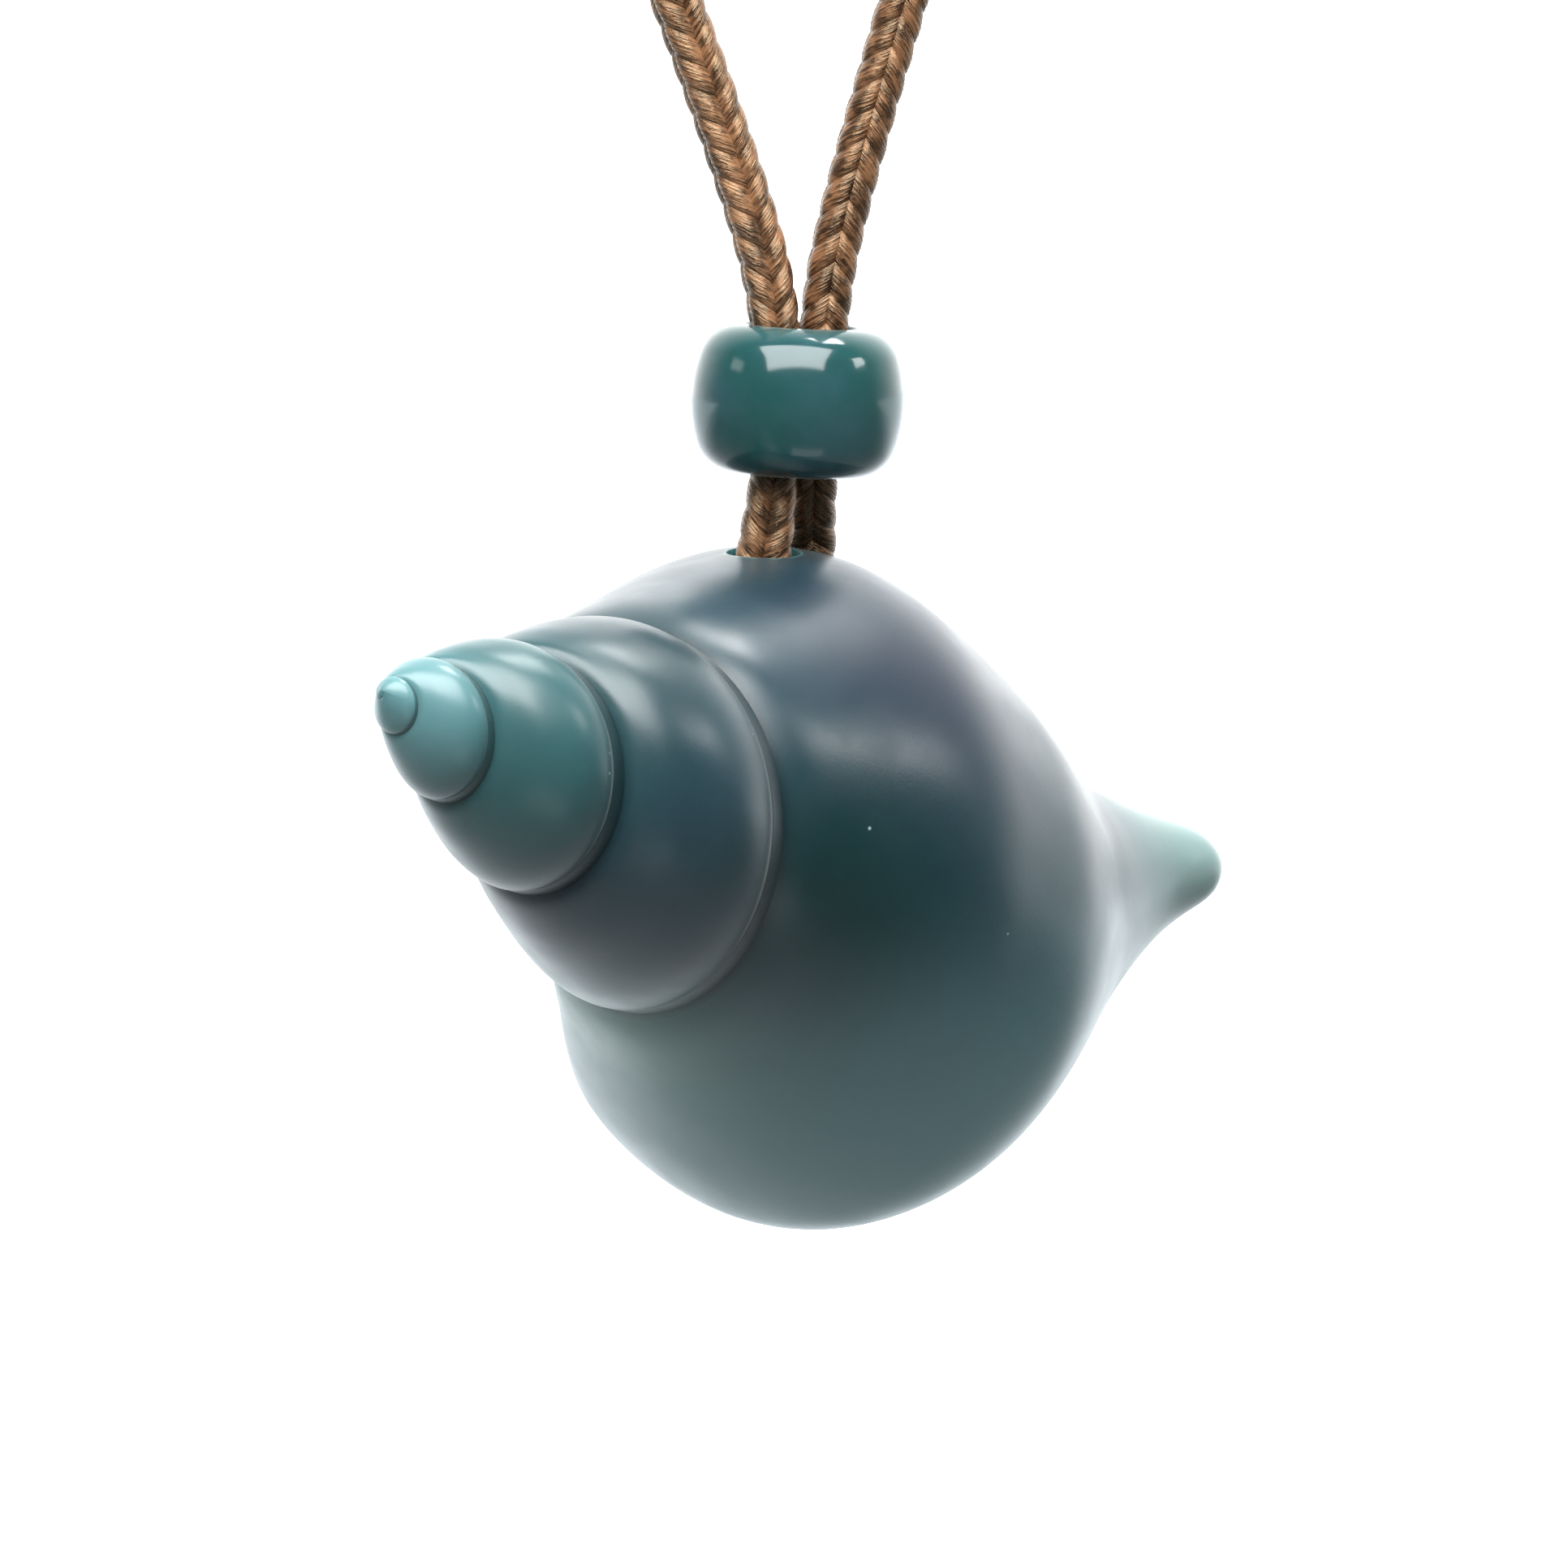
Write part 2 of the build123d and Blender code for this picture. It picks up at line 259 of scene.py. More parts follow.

# Colours of the shell's stone: its two clouds, the areas above (partly painted light and shade), the
# spire, the apex and the canal (paler, painted light through the thin stone), the grooves (painted shade)
# and the specks
STONE_TEAL = (0.008, 0.031, 0.039)
STONE_SLATE = (0.012, 0.036, 0.050)
STONE_GREEN_AND_LIGHT_FROM_BELOW = (0.018, 0.145, 0.085)
STONE_PAINTED_LIGHT_FROM_BELOW = (0.095, 0.200, 0.215)
STONE_PAINTED_HIGH_SHADE = (0.004, 0.013, 0.027)
STONE_PAINTED_DARK_REFLECTION = (0.0002, 0.020, 0.022)
STONE_SPIRE = (0.022, 0.078, 0.084)
STONE_APEX_THROUGH_LIGHT = (0.085, 0.195, 0.207)
STONE_CANAL_THROUGH_LIGHT = (0.145, 0.220, 0.212)
STONE_PAINTED_GROOVE_SHADE = (0.0008, 0.0100, 0.0120)
STONE_SPECK = (0.30, 0.42, 0.42)

# The line that the whorls are centred on: share of the length, then x, y, z as shares of the length,
# and how far a whorl's plane is turned down and away from the front, in degrees
SPINE = [
    (0.000, -0.3066, -0.3735, 0.0713, 10.3, 58.3),
    (0.170, -0.1992, -0.2559, 0.0214, 9.2, 57.3),
    (0.340, -0.0852, -0.0568, -0.0228, 7.8, 54.6),
    (0.510, -0.0129, 0.0993, -0.0609, 5.5, 49.5),
    (0.665, 0.0631, 0.1735, -0.0941, 5.8, 44.0),
    (0.820, 0.2142, 0.2330, -0.0885, -2.3, 35.2),
    (0.930, 0.2986, 0.2816, -0.0687, -10.5, 26.8),
    (1.000, 0.3630, 0.2999, -0.0629, -13.5, 24.1),
]


def add_object(name, data):
    """An object that holds the data, put in the scene."""
    thing = bpy.data.objects.new(name, data)
    bpy.context.scene.collection.objects.link(thing)
    return thing


def make_camera():
    """Looks at the shell's middle from the front, tipped down; the picture is square."""
    data = bpy.data.cameras.new("camera")
    data.sensor_width = SENSOR
    data.lens = SENSOR * CAMERA_DISTANCE / FIELD_WIDTH
    data.clip_start = 0.01
    data.clip_end = 100
    camera = add_object("camera", data)
    x, y, z = SHELL_MIDDLE
    back, up = CAMERA_DISTANCE * cos(CAMERA_TILT), CAMERA_DISTANCE * sin(CAMERA_TILT)
    camera.location = (x, y - back, z + up)
    camera.rotation_euler = (pi / 2 - CAMERA_TILT, 0, 0)
    bpy.context.scene.camera = camera


def spline(knots, values, at):
    """Natural cubic spline through the values at the knots; its second derivatives solve one system."""
    knots = np.asarray(knots, float)
    values = np.asarray(values, float)
    steps = np.diff(knots)
    slopes = (np.diff(values, axis=0).T / steps).T
    system = np.eye(len(knots))
    right = np.zeros(values.shape)
    for row in range(1, len(knots) - 1):
        before, after = steps[row - 1], steps[row]
        system[row, row - 1 : row + 2] = before, 2 * (before + after), after
        right[row] = 6 * (slopes[row] - slopes[row - 1])
    bend = np.linalg.solve(system, right)
    at = np.asarray(at, float)
    cell = np.clip(np.searchsorted(knots, at, side="right") - 1, 0, len(knots) - 2)
    past, width = at - knots[cell], steps[cell]
    if values.ndim > 1:
        past, width = past[..., None], width[..., None]
    left = width - past
    curved = (bend[cell] * left**3 + bend[cell + 1] * past**3) / (6 * width)
    from_left = (values[cell] / width - bend[cell] * width / 6) * left
    from_right = (values[cell + 1] / width - bend[cell + 1] * width / 6) * past
    return curved + from_left + from_right


def smooth_step(share):
    """Rises from 0 to 1 with level ends."""
    share = np.clip(share, 0, 1)
    return share * share * (3 - 2 * share)


def unit(vectors):
    """Vectors of length 1."""
    return vectors / np.linalg.norm(vectors, axis=-1, keepdims=True)


def square_to(ahead):
    """Two unit vectors square to a direction and to each other; the first is square to Y too."""
    inner = unit(np.cross([0, 1.0, 0], ahead))
    return inner, np.cross(ahead, inner)


def front_share(turn):
    """1 at the front of the coil and 0 at its back, as a raised cosine."""
    return (1 + np.cos(2 * np.pi * (turn - FRONT_TURN))) / 2


def profile_knots(profile, along_weight, out_weight):
    """Knots of a profile, spaced by the square root of its weighted chord lengths."""
    steps = np.diff(np.array(profile) * [along_weight, out_weight], axis=0)
    knots = np.concatenate([[0], np.cumsum(np.hypot(*steps.T) ** 0.5)])
    return knots / knots[-1]


def suture(turn):
    """Distance along the spine and radius of the suture at a turn; its first turn is the apex point."""
    rows = np.array(SUTURE)
    shares = spline(rows[:, 0], rows[:, 1:], np.maximum(turn, APEX_TURN))
    started = turn > FIRST_TURN + 1 + 0.5 / TURN_STEPS
    return shares[..., 0] * SHELL_LENGTH * started, shares[..., 1] * SHELL_BODY_RADIUS * started


def terrace(start, end):
    """Length of the ledge between a whorl's foot and the next suture, less on the small first whorls."""
    room = np.maximum(end - start, 0) * TERRACE_SHARE
    return TERRACE_WIDTH * (1 - np.exp(-room / TERRACE_WIDTH))


def spire_whorl(turn, across):
    """A whorl's profile: the chord from its suture to its foot, bulged by the whorl profile, and then
    the terrace, which runs along the axis to the next suture."""
    start, start_radius = suture(turn)
    end, end_radius = suture(turn + 1)
    foot = end - terrace(start, end)
    knots = profile_knots(WHORL_PROFILE, 1, WHORL_BULGE_WEIGHT)
    share = spline(knots, WHORL_PROFILE, np.minimum(across / TERRACE_START, 1))
    ledge = np.clip((across - TERRACE_START) / (1 - TERRACE_START), 0, 1)
    bulge = share[..., 1] * (BACK_BULGE + (FRONT_BULGE - BACK_BULGE) * front_share(turn))
    length, rise = foot - start, end_radius - start_radius
    along = start + length * share[..., 0] - rise * bulge + (end - foot) * ledge
    radius = start_radius + rise * share[..., 0] + length * bulge
    return along, radius


def body_whorl(turn, across):
    """The last whorl's profile: from its suture over the swollen body to the tip of the canal."""
    start, start_radius = suture(turn)
    knots = profile_knots(BODY_PROFILE, SHELL_LENGTH * PROFILE_STRETCH, SHELL_BODY_RADIUS)
    share = spline(knots, BODY_PROFILE, across)
    full = SHELL_BODY_RADIUS * (1 + SHELL_GROWTH * (turn - BODY_TURN))
    fade = np.clip(1 - across / BODY_FADE_END, 0, 1) ** 2
    along = start + (SHELL_LENGTH - start) * share[..., 0]
    radius = full * share[..., 1] + (start_radius - full * BODY_PROFILE[0][1]) * fade
    return along, radius


def round_spine(along, radius, turn):
    """A point at a radius and turn round the bent spine, then tipped to the way the shell hangs."""
    rows = np.array(SPINE)
    spine = spline(rows[:, 0], rows[:, 1:], along / SHELL_LENGTH)
    down, away = np.radians(spine[..., 3]), np.radians(spine[..., 4])
    axis = np.stack([np.cos(away) * np.cos(down), np.sin(away), -np.cos(away) * np.sin(down)], -1)
    front = unit(np.array([0, -1.0, 0]) + axis[..., 1:2] * axis)
    side = np.cross(axis, front)
    angle = 2 * np.pi * turn[..., None]
    ring = radius[..., None] * (np.cos(angle) * front + np.sin(angle) * side)
    x, y, z = np.moveaxis(spine[..., :3] * SHELL_LENGTH + ring, -1, 0)
    tip = SHELL_TIP_ANGLE
    back = y * np.cos(tip) + z * np.sin(tip) + SHELL_MIDDLE[1]
    up = z * np.cos(tip) - y * np.sin(tip) + SHELL_MIDDLE[2]
    return np.stack([x, back, up], -1)


def shell_surface():
    """Rows of points round the coil: each runs from its suture to the next one, or to the tip. Also
    each point's share of the shell's length, and how far it lies in a groove, from 0 to 1."""
    rows = round((LAST_TURN - FIRST_TURN) * TURN_STEPS) + 1
    turns = np.linspace(FIRST_TURN, LAST_TURN, rows)
    turn, across = np.meshgrid(turns, np.linspace(0, 1, ACROSS_STEPS + 1), indexing="ij")
    spire_along, spire_radius = spire_whorl(turn, across)
    body_along, body_radius = body_whorl(turn, across)
    lip_start = LAST_TURN - LIP_TURNS
    opened = smooth_step((turn + 1 - lip_start) / LIP_TURNS)
    ended = smooth_step((turn - lip_start) / LIP_TURNS)
    along = (1 - opened) * spire_along + opened * body_along
    radius = (1 - opened) * spire_radius + opened * body_radius
    along = (1 - ended) * along + ended * SHELL_LENGTH
    radius = (1 - ended) * radius
    # How far into the groove each point lies: the stone's painted shade goes there.
    groove = smooth_step((across - TERRACE_START) * ACROSS_STEPS / GROOVE_STEPS + 0.5) * (1 - opened)
    return round_spine(along, radius, turn), along / SHELL_LENGTH, groove


def grid_faces(rows, columns):
    """Corner numbers of the cells of a grid of points, row by row."""
    number = np.arange(rows * columns).reshape(rows, columns)
    corners = [number[:-1, :-1], number[1:, :-1], number[1:, 1:], number[:-1, 1:]]
    return np.stack(corners, -1).reshape(-1, 4)


def welded(points, faces, weld=1e-7):
    """Points nearer than the weld are made one, and a cell that loses a corner becomes a triangle."""
    _, kept, number = np.unique(np.round(points / weld), axis=0, return_index=True, return_inverse=True)
    faces = number.reshape(-1)[faces]
    same = faces == np.roll(faces, -1, axis=1)
    whole = faces[~same.any(axis=1)]
    lost = same.sum(axis=1) == 1
    short = [tuple(np.delete(face, column.argmax())) for face, column in zip(faces[lost], same[lost])]
    return kept, [tuple(face) for face in whole.tolist()] + [tuple(map(int, face)) for face in short]


def tube_faces(tubes, rings, sides):
    """Faces of closed tubes: all their walls, then the caps at their feet, then those at their heads."""
    number = np.arange(tubes * rings * sides).reshape(tubes, rings, sides)
    beside = np.roll(number, -1, axis=2)
    cells = [number[:, :-1], beside[:, :-1], beside[:, 1:], number[:, 1:]]
    walls = np.stack(cells, -1).reshape(-1, 4)
    return walls.tolist() + number[:, 0, ::-1].tolist() + number[:, -1].tolist()


def dress(piece, node):
    """The piece rides the part's one body and takes the place of a solid."""
    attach(piece, "root")
    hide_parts(node)
    return piece


def new_piece(name, points, faces, node, material, sharp=None):
    """A mesh piece of the object, smooth but for edges sharper than the given angle."""
    mesh = bpy.data.meshes.new(name)
    mesh.from_pydata(np.asarray(points, float).tolist(), [], faces)
    mesh.validate()
    mesh.shade_smooth()
    if sharp:
        mesh.set_sharp_from_angle(angle=sharp)
    mesh.materials.append(material)
    return dress(add_object(name, mesh), node)


def point_values(mesh, name, values):
    """A number on each vertex for the material to read."""
    layer = mesh.attributes.new(name, "FLOAT", "POINT")
    layer.data.foreach_set("value", values.astype(np.float32))


class Wire:
    """An output of a material's nodes; sums and products of it add Math nodes."""

    def __init__(self, paint, socket):
        self.paint, self.socket = paint, socket

    def math(self, operation, other):
        return self.paint.node("ShaderNodeMath", {"operation": operation}, {0: self, 1: other})

    def __add__(self, other):
        return self.math("ADD", other)

    def __mul__(self, other):
        return self.math("MULTIPLY", other)

    __radd__ = __add__
    __rmul__ = __mul__


class Paint:
    """A material under the brush: its node tree, its shader, and one method that adds any node."""

    def __init__(self, name, **constants):
        self.material = bpy.data.materials.new(name)
        self.material.use_nodes = True
        self.tree = self.material.node_tree
        self.tree.nodes.clear()
        self.shader = self.tree.nodes.new("ShaderNodeBsdfPrincipled")
        output = self.tree.nodes.new("ShaderNodeOutputMaterial")
        self.tree.links.new(self.shader.outputs[0], output.inputs[0])
        for socket, value in constants.items():
            self.shader.inputs[socket.replace("_", " ")].default_value = value

    def plug(self, node, sockets):
        for key, value in sockets.items():
            socket = node.inputs[key]
            if isinstance(value, Wire):
                self.tree.links.new(value.socket, socket)
            else:
                socket.default_value = value

    def node(self, kind, settings=(), sockets=(), output=0):
        node = self.tree.nodes.new(kind)
        for key, value in dict(settings).items():
            setattr(node, key, value)
        self.plug(node, dict(sockets))
        return Wire(self, node.outputs[output])

    def object_place(self):
        return self.node("ShaderNodeTexCoord", output=3)

    def attribute(self, name):
        return self.node("ShaderNodeAttribute", {"attribute_name": name}, output=2)

    def noise(self, place, scale, detail=2.0, roughness=0.5):
        sockets = {"Vector": place, "Scale": scale, "Detail": detail, "Roughness": roughness}
        return self.node("ShaderNodeTexNoise", {}, sockets)

    def ranged(self, value, low, high, bottom=0.0, top=1.0):
        sockets = {0: value, 1: low, 2: high, 3: bottom, 4: top}
        return self.node("ShaderNodeMapRange", {"interpolation_type": "SMOOTHSTEP"}, sockets)

    def near(self, place, point, reach):
        """1 at a point and 0 beyond a reach from it."""
        settings = {"operation": "DISTANCE"}
        away = self.node("ShaderNodeVectorMath", settings, {0: place, 1: point}, output=1)
        return self.ranged(away, reach, 0.0)

    def mixed(self, share, first, second):
        first = first if isinstance(first, Wire) else (*first, 1)
        second = second if isinstance(second, Wire) else (*second, 1)
        sockets = {0: share, 6: first, 7: second}
        return self.node("ShaderNodeMix", {"data_type": "RGBA"}, sockets, output=2)

    def bump(self, height, distance):
        sockets = {"Height": height, "Distance": distance, "Strength": 1.0}
        return self.node("ShaderNodeBump", {}, sockets)

    def finish(self, **sockets):
        self.plug(self.shader, {key.replace("_", " "): value for key, value in sockets.items()})
        return self.material


def shell_stone():
    """Satin jade: slate blue clouded with deep teal. Paler towards the two tips, painted light through the
    thin stone, and at the foot, painted light from below; green low on the left, partly painted light from
    below too; painted shade in the grooves and high on the right, and a painted dark reflection beside the
    last suture."""
    paint = Paint(
        "shell_stone",
        IOR=1.55,
        Sheen_Weight=0.19,
        Sheen_Roughness=0.3,
        Subsurface_Weight=0.35,
        Subsurface_Radius=(0.6, 1.0, 1.0),
        Subsurface_Scale=0.002,
    )
    place = paint.object_place()
    along = paint.attribute("along")
    cloud = paint.ranged(paint.noise(place, 70.0, 3.0), 0.35, 0.65)
    body = paint.mixed(cloud, STONE_TEAL, STONE_SLATE)
    # Green low on the left: partly the stone's own tone, partly painted light from below.
    body = paint.mixed(paint.near(place, GREEN_AND_LIT_FROM_BELOW_SPOT, 0.012), body, STONE_GREEN_AND_LIGHT_FROM_BELOW)
    # Paler towards the foot: painted light from below.
    height = paint.node("ShaderNodeSeparateXYZ", {}, {0: place}, output=2)
    body = paint.mixed(paint.ranged(height, *LIT_FROM_BELOW_HEIGHTS), body, STONE_PAINTED_LIGHT_FROM_BELOW)
    # Darker slate high on the right: painted shade.
    body = paint.mixed(paint.near(place, PAINTED_HIGH_SHADE_SPOT, 0.012), body, STONE_PAINTED_HIGH_SHADE)
    # Dark teal beside the last suture: a painted dark reflection.
    body = paint.mixed(paint.near(place, PAINTED_DARK_REFLECTION_SPOT, 0.009), body, STONE_PAINTED_DARK_REFLECTION)
    body = paint.mixed(paint.ranged(along, 0.20, 0.11), body, STONE_SPIRE)
    # Paler apex and canal tip: painted light shining through the thin stone.
    apex = paint.ranged(along, 0.09, 0.02)
    canal = paint.ranged(along, 0.80, 0.97)
    colour = paint.mixed(apex, body, STONE_APEX_THROUGH_LIGHT)
    colour = paint.mixed(canal, colour, STONE_CANAL_THROUGH_LIGHT)
    # Darker in the grooves and in the tunnel: painted shade.
    colour = paint.mixed(0.55 * paint.attribute("groove"), colour, STONE_PAINTED_GROOVE_SHADE)
    for *speck, reach in SPECKS:
        colour = paint.mixed(paint.near(place, speck, reach), colour, STONE_SPECK)
    grain = paint.noise(place, 9000.0, 2.0)
    roughness = paint.ranged(paint.noise(place, 400.0, 3.0), 0.3, 0.7, 0.31, 0.37)
    return paint.finish(Base_Color=colour, Roughness=roughness, Normal=paint.bump(grain, 0.000004))


def bead_stone():
    """Polished jade: deep green teal with faint clouds and a clear gloss."""
    paint = Paint(
        "bead_stone",
        IOR=1.5,
        Sheen_Weight=0.26,
        Sheen_Roughness=0.3,
        Subsurface_Weight=0.6,
        Subsurface_Radius=(0.5, 1.0, 1.0),
        Subsurface_Scale=0.002,
    )
    place = paint.object_place()
    cloud = paint.ranged(paint.noise(place, 260.0, 3.0), 0.35, 0.65)
    colour = paint.mixed(cloud, (0.013, 0.060, 0.060), (0.021, 0.068, 0.077))
    return paint.finish(Base_Color=colour, Roughness=0.12)


def cord_yarn():
    """Glossy bronze-brown filaments that run along each yarn, tan where they catch the light."""
    paint = Paint("cord_yarn", IOR=1.9, Specular_Tint=(1.0, 0.74, 0.48, 1))
    along = paint.node("ShaderNodeUVMap", {"uv_map": "yarn"})
    stretched = paint.node("ShaderNodeMapping", {}, {"Vector": along, "Scale": (1.5, 34.0, 1.0)})
    strand = paint.noise(stretched, 1.0, 3.0, 0.6)
    patches = paint.noise(paint.object_place(), 1200.0, 2.0)
    light = paint.ranged(strand * 0.6 + patches * 0.4, 0.42, 0.62)
    colour = paint.mixed(light, (0.022, 0.009, 0.004), (0.215, 0.100, 0.046))
    return paint.finish(
        Base_Color=colour,
        Roughness=paint.ranged(strand, 0.3, 0.7, 0.20, 0.36),
        Normal=paint.bump(strand, 0.00009),
    )


def joiner_metal():
    """Darkened brass with fine marks round the barrel and brighter rubbed spots."""
    paint = Paint("joiner_metal", Metallic=1.0)
    place = paint.object_place()
    rings = paint.node("ShaderNodeMapping", {}, {"Vector": place, "Scale": (9000.0, 400.0, 400.0)})
    marks = paint.noise(rings, 1.0, 2.0)
    rubbed = paint.ranged(paint.noise(place, 500.0, 3.0), 0.35, 0.7)
    colour = paint.mixed(rubbed, (0.16, 0.10, 0.05), (0.42, 0.29, 0.15))
    roughness = paint.ranged(marks, 0.2, 0.8, 0.28, 0.46)
    return paint.finish(Base_Color=colour, Roughness=roughness, Normal=paint.bump(marks, 0.00001))


def cord_line():
    """Points down the middle of the cord, read from its smooth spline, with the distance along it."""
    curve = bpy.data.curves.new("cord_line", "CURVE")
    curve.dimensions = "3D"
    route = curve.splines.new("NURBS")
    route.points.add(len(CORD_ROUTE) - 1)
    for point, place_along in zip(route.points, CORD_ROUTE):
        point.co = (*place_along, 1)
    route.order_u = 3
    route.use_endpoint_u = True
    curve.resolution_u = CORD_SMOOTHNESS
    helper = bpy.data.objects.new("cord_line", curve)
    mesh = bpy.data.meshes.new_from_object(helper)
    line = np.empty(len(mesh.vertices) * 3)
    mesh.vertices.foreach_get("co", line)
    bpy.data.objects.remove(helper)
    bpy.data.curves.remove(curve)
    bpy.data.meshes.remove(mesh)
    line = line.reshape(-1, 3)
    along = np.concatenate([[0], np.cumsum(np.linalg.norm(np.diff(line, axis=0), axis=1))])
    return line, along


def tunnel_ends(line, along):
    """The distances along the cord's line at which it passes the tunnel's two mouths."""
    return [along[np.argmin(np.linalg.norm(line - np.array(mouth), axis=1))] for mouth in TUNNEL_MOUTHS]


def line_at(line, along, at):
    """Place and direction on the cord's line at distances along it."""
    reach = CORD_DIAMETER / 10
    middle, before, after = (
        np.stack([np.interp(at + shift, along, line[:, axis]) for axis in range(3)], -1)
        for shift in (0, -reach, reach)
    )
    return middle, unit(after - before)


def braid(line, along, start, end, rings, sides):
    """Eight yarns on the cord's line, four wound each way. A yarn's angle grows evenly with the distance.
    Its section is a flat ellipse laid on the cord's skin across the yarn's way. Its depth follows the
    cosine of twice the angle there, made fuller by 1.5 c - 0.5 c cubed, so each way lies on top in two
    columns. The whole braid then turns by the twist and widens by the swell at its place."""
    way = np.repeat([1, -1], YARNS_EACH_WAY)[:, None, None]
    first = np.tile(np.arange(YARNS_EACH_WAY) * 2 * pi / YARNS_EACH_WAY, 2)[:, None, None]
    at = np.linspace(start, end, rings)[None, :, None]
    round_yarn = np.linspace(0, 2 * pi, sides, endpoint=False)
    slant = atan(2 * pi * YARN_RADIUS / BRAID_LEAD)
    aside = YARN_HALF_WIDTH * np.cos(round_yarn)
    place = at - way * aside * sin(slant)
    angle = first + way * 2 * pi * at / BRAID_LEAD + aside * cos(slant) / YARN_RADIUS
    wave = way * np.cos(2 * angle)
    wave = wave * (1.5 - 0.5 * wave * wave)
    radius = YARN_RADIUS + YARN_WAVE * wave + YARN_HALF_THICKNESS * np.sin(round_yarn)
    from_tunnel = place - sum(tunnel_ends(line, along)) / 2
    twisted = angle + np.radians(np.interp(from_tunnel, *zip(*BRAID_TWIST)))
    radius = radius * np.interp(from_tunnel, *zip(*BRAID_SWELL))
    middle, ahead = line_at(line, along, place)
    inner, outer = square_to(ahead)
    out = np.cos(twisted)[..., None] * inner + np.sin(twisted)[..., None] * outer
    return middle + radius[..., None] * out, at[0, :, 0]


def braid_piece(name, line, along, start, end, rings_a_lead, sides, material):
    """One stretch of the braid as a mesh of eight closed tubes, with the yarns' own map: millimetres
    along the cord, moved on from yarn to yarn, and the share of the way round the yarn."""
    rings = round((end - start) / BRAID_LEAD * rings_a_lead) + 1
    points, at = braid(line, along, start, end, rings, sides)
    yarns = len(points)
    faces = tube_faces(yarns, rings, sides)
    piece = new_piece(name, points.reshape(-1, 3), faces, "cord", material)
    share = np.arange(sides + 1) / sides
    millimetre = 1000 * at
    low, high = share[:-1], share[1:]
    across = np.broadcast_to(np.stack([low, high, high, low], -1), (yarns, rings - 1, sides, 4))
    before, after = millimetre[:-1], millimetre[1:]
    ends = np.stack([before, before, after, after], -1)[None, :, None]
    apart = YARN_PATTERN_SHIFT * np.arange(yarns)[:, None, None, None]
    lengthwise = np.broadcast_to(ends + apart, (yarns, rings - 1, sides, 4))
    on_walls = np.stack([lengthwise, across], -1).reshape(-1)
    on_caps = np.zeros(2 * 2 * yarns * sides)
    layer = piece.data.uv_layers.new(name="yarn")
    layer.uv.foreach_set("vector", np.concatenate([on_walls, on_caps]).astype(np.float32))


def tunnel_cutter(line, along, start, end):
    """The drill for the shell's tunnel: a tube round the cord's line. Its walls carry the numbers that
    give the tunnel the painted shade of a groove."""
    middle, ahead = line_at(line, along, np.linspace(start, end, DRILL_RINGS))
    inner, outer = square_to(ahead)
    angle = np.linspace(0, 2 * pi, DRILL_SIDES, endpoint=False)
    radius = CORD_DIAMETER / 2 + TUNNEL_GAP
    ring = np.cos(angle)[:, None] * inner[:, None] + np.sin(angle)[:, None] * outer[:, None]
    points = middle[:, None] + radius * ring
    faces = tube_faces(1, DRILL_RINGS, DRILL_SIDES)
    mesh = bpy.data.meshes.new("drill")
    mesh.from_pydata(points.reshape(-1, 3).tolist(), [], faces)
    point_values(mesh, "along", np.full(len(mesh.vertices), 0.5))
    # The tunnel walls count as deep in a groove, so they take its painted shade.
    point_values(mesh, "groove", np.ones(len(mesh.vertices)))
    return add_object("drill", mesh)


def make_shell(line, along):
    """The carved shell, welded along its sutures and drilled for the cord."""
    points, share, groove = shell_surface()
    rows, columns = share.shape
    kept, faces = welded(points.reshape(-1, 3), grid_faces(rows, columns))
    mesh = bpy.data.meshes.new("carved_shell")
    mesh.from_pydata(points.reshape(-1, 3)[kept].tolist(), [], faces)
    point_values(mesh, "along", share.reshape(-1)[kept])
    point_values(mesh, "groove", groove.reshape(-1)[kept])
    mesh.materials.append(shell_stone())
    piece = add_object("carved_shell", mesh)
    start, end = tunnel_ends(line, along)
    drill = tunnel_cutter(line, along, start - TUNNEL_OVERRUN, end + TUNNEL_OVERRUN)
    cut = piece.modifiers.new("tunnel", "BOOLEAN")
    cut.object, cut.operation, cut.solver = drill, "DIFFERENCE", "EXACT"
    evaluated = piece.evaluated_get(bpy.context.evaluated_depsgraph_get())
    carved = bpy.data.meshes.new_from_object(evaluated)
    piece.modifiers.clear()
    piece.data = carved
    bpy.data.objects.remove(drill)
    carved.shade_smooth()
    carved.set_sharp_from_angle(angle=SHARP_ANGLE)
    dress(piece, "shell")


def arc(centre_r, centre_z, radius, start, end, steps):
    """Points of a profile's arc: distance from the axis, and height."""
    angle = np.linspace(start, end, steps)
    return np.stack([centre_r + radius * np.cos(angle), centre_z + radius * np.sin(angle)], -1)


def turned(profile, origin, axis, steps):
    """A closed profile carried round an axis: each point keeps its distance and its height."""
    axis = unit(np.array(axis, float))
    first, second = square_to(axis)
    angle = np.linspace(0, 2 * pi, steps, endpoint=False)[:, None, None]
    ring = np.cos(angle) * first + np.sin(angle) * second
    points = np.array(origin) + profile[None, :, :1] * ring + profile[None, :, 1:] * axis
    number = np.arange(points[..., 0].size).reshape(points.shape[:2])
    next_row = np.roll(number, -1, axis=0)
    cells = [number, next_row, np.roll(next_row, -1, axis=1), np.roll(number, -1, axis=1)]
    return points.reshape(-1, 3), np.stack(cells, -1).reshape(-1, 4)


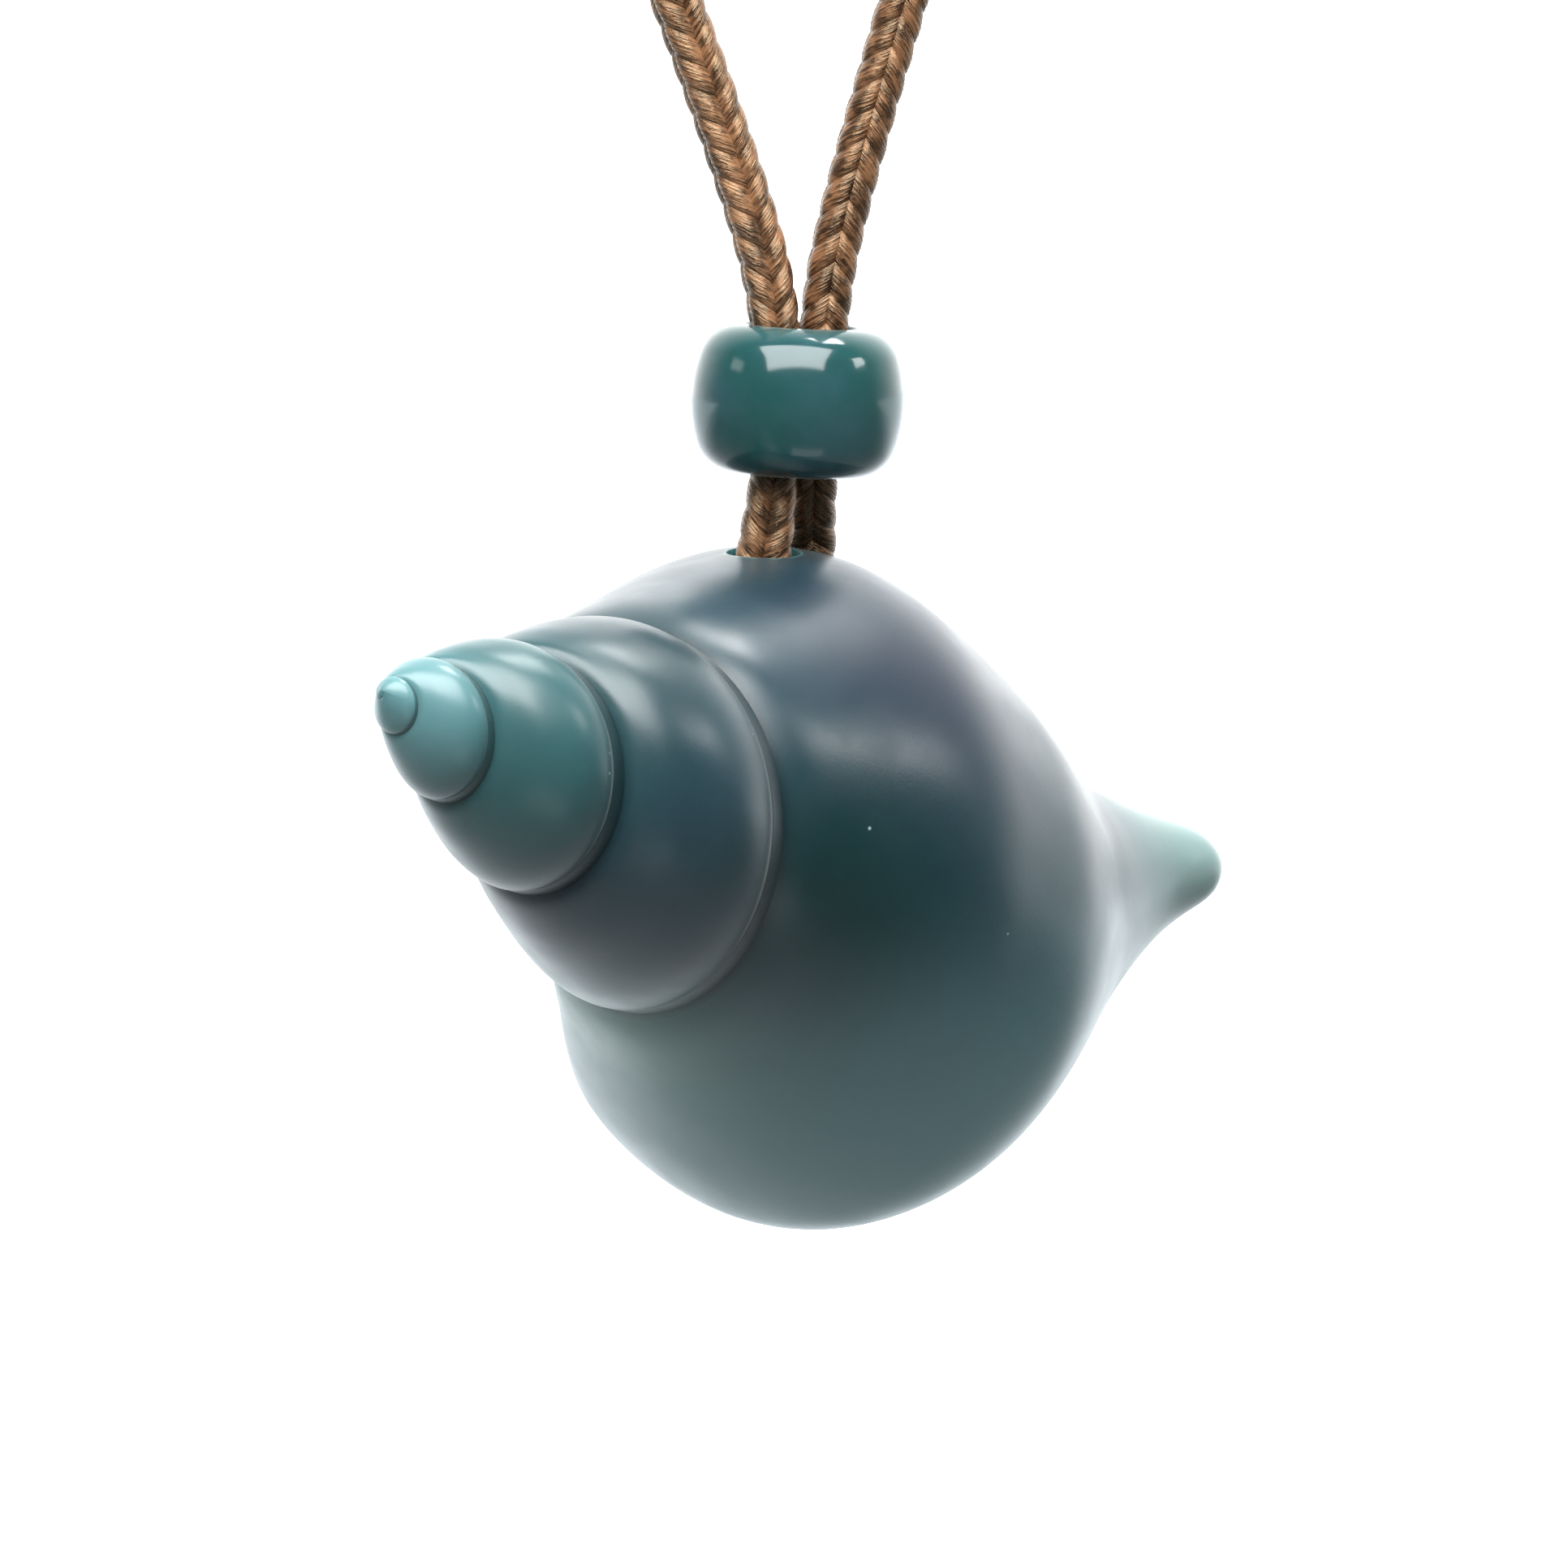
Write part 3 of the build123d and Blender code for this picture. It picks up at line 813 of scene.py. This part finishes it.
def make_bead():
    """A drilled barrel bead: bore, mouths, well rounded edges and a bulged wall, all tangent arcs."""
    tops, feet = np.array(BEAD_TOPS), np.array(BEAD_FEET)
    gaps = np.linalg.norm(tops[0] - tops[1]), np.linalg.norm(feet[0] - feet[1])
    bore = max(gaps) / 2 + CORD_DIAMETER / 2 + BEAD_BORE_GAP
    outer, half, shoulder = bore + BEAD_WALL, BEAD_HEIGHT / 2, bore + BEAD_SHELF
    depth, mouth = outer - shoulder, BEAD_MOUTH_SHARE * BEAD_SHELF
    edge = depth * BEAD_EDGE_SHARE
    wall = (depth**2 + (half - edge) ** 2 - edge**2) / (2 * (depth - edge))
    lean = np.arcsin((half - edge) / (wall - edge))
    upper = np.concatenate([
        arc(outer - wall, 0, wall, 0, lean, WALL_POINTS)[:-1],
        arc(shoulder, half - edge, edge, lean, pi / 2, EDGE_POINTS),
        arc(bore + mouth, half - mouth, mouth, pi / 2, pi, MOUTH_POINTS),
    ])
    profile = np.concatenate([upper, (upper * [1, -1])[::-1][:-1]])
    origin = (tops.sum(0) + feet.sum(0)) / 4
    points, faces = turned(profile[::-1], origin, tops.sum(0) - feet.sum(0), BEAD_STEPS)
    stone = bead_stone()
    new_piece("stone_bead", points, faces.tolist(), "bead", stone, SHARP_ANGLE)


def make_joiner():
    """A plain barrel at the nape with rounded rims, closed by the cord's two ends."""
    outer, half, rim = JOINER_DIAMETER / 2, JOINER_LENGTH / 2, JOINER_ROUNDING
    upper = np.concatenate([
        arc(outer - rim, half - rim, rim, 0, pi / 2, RIM_POINTS),
        [[JOINER_EYE, half]],
    ])
    profile = np.concatenate([upper, (upper * [1, -1])[::-1]])
    points, faces = turned(profile[::-1], (0, 0, outer), (1, 0, 0), JOINER_STEPS)
    metal = joiner_metal()
    new_piece("closure_barrel", points, faces.tolist(), "cord_joiner", metal, SHARP_ANGLE)


def make_light(name, azimuth, elevation, size, brightness):
    """A rectangle of light that faces the shell's middle; its power is its brightness times its area
    times pi."""
    data = bpy.data.lights.new(name, "AREA")
    data.shape = "RECTANGLE"
    data.size, data.size_y = size
    data.energy = brightness * size[0] * size[1] * pi
    light = add_object(name, data)
    a, e = radians(azimuth), radians(elevation)
    away = np.array([sin(a) * cos(e), -cos(a) * cos(e), sin(e)])
    light.location = np.array(SHELL_MIDDLE) + LIGHT_DISTANCE * away
    light.rotation_euler = (pi / 2 - e, 0, a)


def make_world():
    """A bright white surround that darkens towards the camera's side; the camera itself sees it white."""
    world = bpy.data.worlds.new("surround")
    world.use_nodes = True
    bpy.context.scene.world = world
    tree = world.node_tree
    tree.nodes.clear()
    place = tree.nodes.new("ShaderNodeTexCoord")
    towards = tree.nodes.new("ShaderNodeVectorMath")
    towards.operation = "DOT_PRODUCT"
    towards.inputs[1].default_value = tuple(unit(np.array(SURROUND_FRONT)))
    fade = tree.nodes.new("ShaderNodeMapRange")
    fade.interpolation_type = "SMOOTHSTEP"
    for key, value in enumerate([*SURROUND_CHANGE, *SURROUND_BRIGHTNESS], 1):
        fade.inputs[key].default_value = value
    rays = tree.nodes.new("ShaderNodeLightPath")
    seen = tree.nodes.new("ShaderNodeMath")
    seen.operation = "MAXIMUM"
    glow = tree.nodes.new("ShaderNodeBackground")
    output = tree.nodes.new("ShaderNodeOutputWorld")
    links = [
        (place.outputs["Generated"], towards.inputs[0]),
        (towards.outputs["Value"], fade.inputs[0]),
        (fade.outputs[0], seen.inputs[0]),
        (rays.outputs["Is Camera Ray"], seen.inputs[1]),
        (seen.outputs[0], glow.inputs["Strength"]),
        (glow.outputs[0], output.inputs[0]),
    ]
    for source, target in links:
        tree.links.new(source, target)


def make_floor():
    """A plain pale floor well below the pendant; painted light, a glow of its own, makes it white beyond
    the pendant.
    """
    mesh = bpy.data.meshes.new("floor")
    sides = (-1, -1), (1, -1), (1, 1), (-1, 1)
    corners = [(x * FLOOR_REACH, y * FLOOR_REACH, FLOOR_GLOW[2]) for x, y in sides]
    mesh.from_pydata(corners, [], [(0, 1, 2, 3)])
    paint = Paint("floor", Base_Color=FLOOR_GREY, Roughness=0.9, Emission_Strength=1.0)
    place = paint.object_place()
    behind = paint.node("ShaderNodeSeparateXYZ", {}, {0: place}, output=1)
    # Painted light: the floor glows white behind the pendant and in a soft pool.
    soft = FLOOR_GLOW_SHARE * paint.near(place, FLOOR_GLOW, FLOOR_GLOW_REACH)
    glow = paint.ranged(behind, *FLOOR_BEHIND) + soft
    mesh.materials.append(paint.finish(Emission_Color=paint.mixed(glow, (0.0, 0.0, 0.0), FLOOR_LIGHT)))
    add_object("floor", mesh)


bpy.context.scene.view_settings.view_transform = "Standard"
make_camera()
line, along = cord_line()
yarn = cord_yarn()
tunnel_middle = sum(tunnel_ends(line, along)) / 2
fine_start, fine_end = tunnel_middle - FINE_BRAID_REACH, tunnel_middle + FINE_BRAID_REACH
braid_piece("cord_front_left", line, along, fine_start, tunnel_middle, *FINE_BRAID, yarn)
braid_piece("cord_front_right", line, along, tunnel_middle, fine_end, *FINE_BRAID, yarn)
braid_piece("cord_neck_left", line, along, 0.0, fine_start, *PLAIN_BRAID, yarn)
braid_piece("cord_neck_right", line, along, fine_end, along[-1], *PLAIN_BRAID, yarn)
make_shell(line, along)
make_bead()
make_joiner()
for light in LIGHTS:
    make_light(*light)
make_world()
make_floor()
